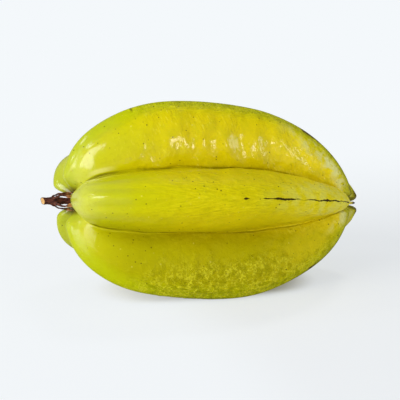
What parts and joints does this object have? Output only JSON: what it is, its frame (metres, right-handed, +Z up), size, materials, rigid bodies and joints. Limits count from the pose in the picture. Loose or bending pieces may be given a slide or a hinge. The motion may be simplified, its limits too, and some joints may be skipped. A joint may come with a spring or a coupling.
{
  "type": "star fruit",
  "caption": "Whole ripe star fruit (carambola) with deep ribs, a short woody stalk and dried sepals, lying on its ribs.",
  "frame": {"origin": "middle of the underside of the whole object's box, on the surface that the fruit lies on", "axes": "+X from the stalk end to the tip along the fruit, -Y towards the front rib, +Z up"},
  "size_m": [0.1236, 0.0722, 0.0706],
  "materials": {
    "skin": "smooth waxy yellow-green fruit skin, glossy, with soft bumps and fine wrinkles",
    "woody_stalk": "dry dark reddish-brown wood with fine lengthwise grain and a pale tan cut end",
    "dried_sepal": "dry matt brown leaf strip, paler at the end",
    "dried_style": "dry dark brown point, matt"
  },
  "bodies": {
    "root": {"fruit": "skin", "stem": "woody_stalk", "sepal_1": "dried_sepal", "sepal_2": "dried_sepal", "sepal_3": "dried_sepal", "sepal_4": "dried_sepal", "sepal_5": "dried_sepal", "style_remnant": "dried_style"}
  },
  "joints": []
}
